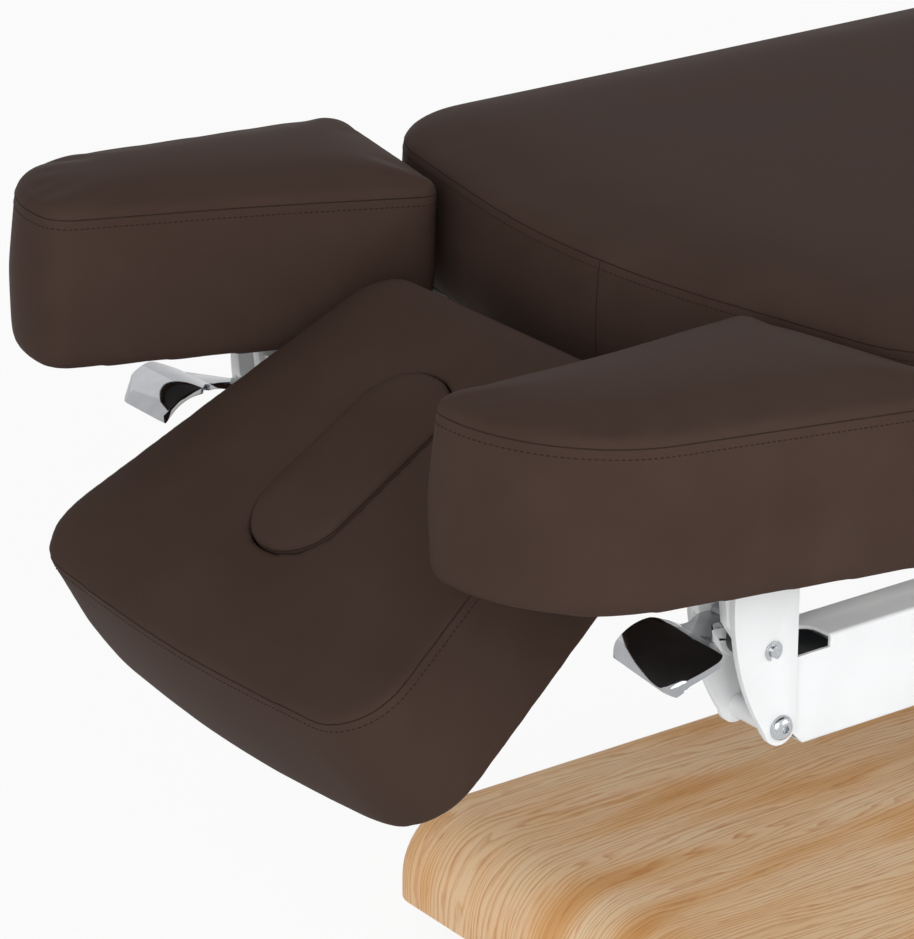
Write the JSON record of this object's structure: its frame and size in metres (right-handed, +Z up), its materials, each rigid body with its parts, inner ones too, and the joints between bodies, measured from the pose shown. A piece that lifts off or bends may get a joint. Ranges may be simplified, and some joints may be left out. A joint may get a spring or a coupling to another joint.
{
  "type": "electric massage table",
  "caption": "Height-adjustable massage table with a padded top, a tilting headrest with a face slot and plug, tilting armrests with release levers, lifting columns and a wood-covered base.",
  "frame": {"origin": "on the floor, under the middle of the table's bounding box", "axes": "+X from head to foot, +Y to the left of a person lying face up, +Z up"},
  "size_m": [1.8843, 0.7334, 0.6743],
  "materials": {
    "upholstery": "smooth brown synthetic leather",
    "plywood": "raw birch plywood",
    "oak": "oak veneer, matt lacquer",
    "white_steel": "white powder coat",
    "grey_steel": "dark grey powder coat",
    "chrome": "polished",
    "zinc_steel": "zinc plated",
    "cast_aluminium": "as cast",
    "nylon": "natural nylon",
    "black_plastic": "fine texture",
    "rubber": "matt"
  },
  "bodies": {
    "base": {"base_cover": "oak", "base_frame": "grey_steel", "column_glides_lower": "nylon", "column_outer_tubes": "white_steel", "levelling_feet": "rubber", "lift_gearboxes": "cast_aluminium", "lift_motors": "black_plastic"},
    "mid_front": {"column_glide_upper_front": "nylon", "column_mid_front": "white_steel", "drive_nut_front": "nylon"},
    "mid_rear": {"column_glide_upper_rear": "nylon", "column_mid_rear": "white_steel", "drive_nut_rear": "nylon"},
    "screw_front": {"drive_screw_front": "zinc_steel"},
    "screw_rear": {"drive_screw_rear": "zinc_steel"},
    "top": {"armrest_pivot_pins": "zinc_steel", "brake_blocks": "black_plastic", "column_beams": "white_steel", "column_inner_front": "white_steel", "column_inner_rear": "white_steel", "control_box": "black_plastic", "control_tray": "white_steel", "deck_frame": "white_steel", "deck_risers": "white_steel", "fork_bolts": "zinc_steel", "fork_nuts": "zinc_steel", "fork_plate_inner_left": "white_steel", "fork_plate_inner_right": "white_steel", "fork_plate_outer_left": "white_steel", "fork_plate_outer_right": "white_steel", "fork_spacers": "white_steel", "handset_socket": "black_plastic", "headrest_friction_discs": "black_plastic", "headrest_lugs": "white_steel", "headrest_shaft": "zinc_steel", "mains_inlet": "black_plastic", "mattress_board": "plywood", "mattress_cushion": "upholstery", "pivot_circlips": "zinc_steel", "rail_end_caps": "black_plastic", "side_rail_left": "white_steel", "side_rail_right": "white_steel"},
    "headrest": {"headrest_arm_left": "white_steel", "headrest_arm_right": "white_steel", "headrest_board": "plywood", "headrest_bushes": "nylon", "headrest_cushion": "upholstery"},
    "face_plug": {"face_plug_board": "plywood", "face_plug_cushion": "upholstery"},
    "armrest_left": {"armrest_left_board": "plywood", "armrest_left_cushion": "upholstery", "armrest_yoke_left": "white_steel", "lever_pin_left": "zinc_steel"},
    "armrest_right": {"armrest_right_board": "plywood", "armrest_right_cushion": "upholstery", "armrest_yoke_right": "white_steel", "lever_pin_right": "zinc_steel"},
    "lever_left": {"release_lever_left": "chrome"},
    "lever_right": {"release_lever_right": "chrome"}
  },
  "joints": [
    {"name": "lift_front_lower", "type": "slide", "parent": "base", "child": "mid_front", "axis": [0, 0, 1], "range_m": [-0.04, 0.11]},
    {"name": "lift_front_upper", "type": "slide", "parent": "mid_front", "child": "top", "axis": [0, 0, 1], "range_m": [-0.04, 0.11]},
    {"name": "lift_rear_lower", "type": "slide", "parent": "base", "child": "mid_rear", "axis": [0, 0, 1], "range_m": [-0.04, 0.11]},
    {"name": "front_screw_turn", "type": "hinge", "parent": "base", "child": "screw_front", "pos_m": [-0.085, 0, 0.1], "axis": [0, 0, 1], "range_deg": [-1201, 3301]},
    {"name": "rear_screw_turn", "type": "hinge", "parent": "base", "child": "screw_rear", "pos_m": [0.535, 0, 0.1], "axis": [0, 0, 1], "range_deg": [-1201, 3301]},
    {"name": "headrest_tilt", "type": "hinge", "parent": "top", "child": "headrest", "pos_m": [-0.597, 0, 0.5316], "axis": [0, 1, 0], "range_deg": [-38, 32]},
    {"name": "face_plug_lift", "type": "slide", "parent": "headrest", "child": "face_plug", "axis": [-0.5299, 0, 0.848], "range_m": [0, 0.085]},
    {"name": "armrest_left_tilt", "type": "hinge", "parent": "top", "child": "armrest_left", "pos_m": [-0.666, 0.27, 0.465], "axis": [0, 1, 0], "range_deg": [-38, 0]},
    {"name": "lever_left_press", "type": "hinge", "parent": "armrest_left", "child": "lever_left", "pos_m": [-0.68445, 0.27, 0.48551], "axis": [0, 1, 0], "range_deg": [0, 10], "stiffness_Nm_per_rad": 1.5, "springref_deg": -8.59},
    {"name": "armrest_right_tilt", "type": "hinge", "parent": "top", "child": "armrest_right", "pos_m": [-0.666, -0.27, 0.465], "axis": [0, 1, 0], "range_deg": [-38, 0]},
    {"name": "lever_right_press", "type": "hinge", "parent": "armrest_right", "child": "lever_right", "pos_m": [-0.68445, -0.27, 0.48551], "axis": [0, 1, 0], "range_deg": [0, 10], "stiffness_Nm_per_rad": 1.5, "springref_deg": -8.59}
  ],
  "couplings": [
    {"joint": "lift_front_upper", "follows": "lift_front_lower", "ratio": 1},
    {"joint": "lift_rear_lower", "follows": "lift_front_lower", "ratio": 1},
    {"joint": "front_screw_turn", "follows": "lift_front_lower", "rad_per_m": 523.6},
    {"joint": "rear_screw_turn", "follows": "lift_front_lower", "rad_per_m": 523.6}
  ]
}
